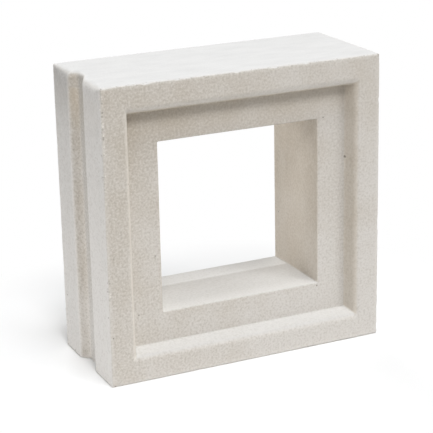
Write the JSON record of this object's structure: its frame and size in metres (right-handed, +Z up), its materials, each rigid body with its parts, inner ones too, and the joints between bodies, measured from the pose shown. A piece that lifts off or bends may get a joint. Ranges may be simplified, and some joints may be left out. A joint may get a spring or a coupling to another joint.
{
  "type": "breeze block",
  "caption": "Square cast concrete screen-wall block with a stepped frame on both faces, a square through opening for air and a shallow mortar groove up one side.",
  "frame": {"origin": "centre of the footprint, on the floor that the block stands on", "axes": "+Z up the height, +X across the width toward the plain side, -Y out of the front face; the air opening runs along Y"},
  "size_m": [0.19, 0.08, 0.19],
  "materials": {
    "concrete": "fine sandy cast concrete, matt"
  },
  "bodies": {
    "root": {"breeze_block": "concrete"}
  },
  "joints": []
}
